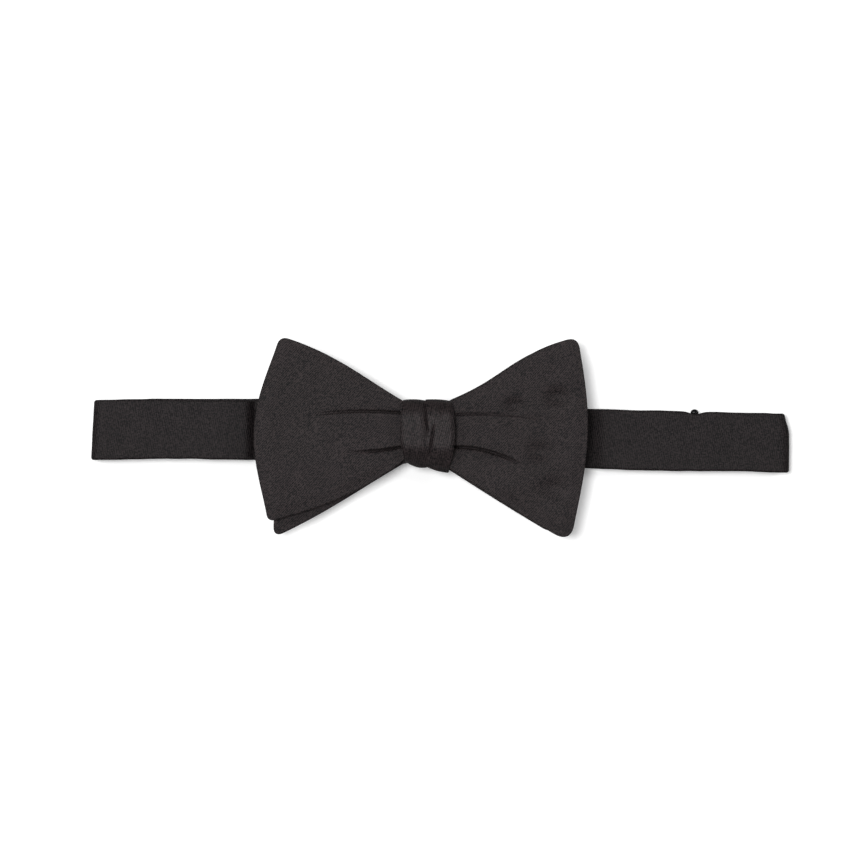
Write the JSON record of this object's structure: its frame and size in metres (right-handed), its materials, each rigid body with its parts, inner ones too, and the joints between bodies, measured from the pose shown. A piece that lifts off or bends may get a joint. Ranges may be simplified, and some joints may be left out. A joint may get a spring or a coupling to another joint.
{
  "type": "bow tie",
  "caption": "Ready-tied butterfly bow tie with two stacked bows, a wrapped knot and a flat neckband loop with an adjuster slider and a hook clasp.",
  "frame": {"origin": "on the table under the middle of the knot, at the underside of the nape band", "axes": "+X along the band towards the wearer's left (right in a front view), +Y up the knot, +Z out of the front of the tie"},
  "size_m": [0.2406, 0.0674, 0.0174],
  "materials": {
    "satin": "black silk satin, soft sheen",
    "canvas": "matte woven interlining",
    "thread": "matte sewing thread",
    "enamel": "black enamel, semi-gloss",
    "dark_steel": "dark nickel plate"
  },
  "bodies": {
    "rear_band": {"nape_band": "satin", "nape_band_interlining": "canvas", "hook_loop": "satin", "hook": "dark_steel", "eye": "dark_steel", "nape_end_stitching": "thread"},
    "left_rear_strap": {"left_rear_band": "satin", "left_rear_band_interlining": "canvas", "left_fold": "satin"},
    "left_front_strap": {"left_front_band": "satin", "left_front_band_interlining": "canvas"},
    "bow": {"centre_band": "satin", "centre_band_interlining": "canvas", "waist_thread": "thread", "rear_bow_back": "satin", "rear_bow_interlining": "canvas", "rear_bow_face": "satin", "front_bow_back": "satin", "front_bow_interlining": "canvas", "front_bow_face": "satin", "knot_wrap": "satin", "knot_lining": "canvas", "knot_stitches": "thread"},
    "right_front_strap": {"right_front_band": "satin", "right_front_band_interlining": "canvas"},
    "right_rear_strap": {"right_rear_band": "satin", "right_fold": "satin", "adjuster_strap": "satin", "adjuster_tail": "satin"},
    "slider": {"slider_frame": "enamel", "slider_bar": "enamel", "tail_tack": "thread"}
  },
  "joints": [
    {"name": "left_nape_bend", "type": "hinge", "parent": "rear_band", "child": "left_rear_strap", "pos_m": [-0.03235, 0.002, 0.0009], "axis": [0, 1, 0], "range_deg": [0, 60]},
    {"name": "left_fold_bend", "type": "hinge", "parent": "left_rear_strap", "child": "left_front_strap", "pos_m": [-0.11235, 0.0022, 0.0039], "axis": [0, 1, 0], "range_deg": [-120, 0], "deforming": ["left_fold"]},
    {"name": "left_wing_bend", "type": "hinge", "parent": "left_front_strap", "child": "bow", "pos_m": [-0.03235, 0.0014, 0.0062], "axis": [0, 1, 0], "range_deg": [0, 60]},
    {"name": "right_wing_bend", "type": "hinge", "parent": "bow", "child": "right_front_strap", "pos_m": [0.0415, -0.0006, 0.0069], "axis": [0, 1, 0], "range_deg": [0, 60]},
    {"name": "right_fold_bend", "type": "hinge", "parent": "right_front_strap", "child": "right_rear_strap", "pos_m": [0.1215, -0.0024, 0.0039], "axis": [0, 1, 0], "range_deg": [-120, 0], "deforming": ["right_fold"]},
    {"name": "slider_travel", "type": "slide", "parent": "right_rear_strap", "child": "slider", "axis": [-1, 0, 0], "range_m": [0, 0.022], "deforming": ["adjuster_tail"]}
  ],
  "couplings": [
    {"joint": "left_fold_bend", "follows": "left_nape_bend", "ratio": -2},
    {"joint": "left_wing_bend", "follows": "left_nape_bend", "ratio": 1},
    {"joint": "right_wing_bend", "follows": "left_nape_bend", "ratio": 1},
    {"joint": "right_fold_bend", "follows": "left_nape_bend", "ratio": -2}
  ]
}
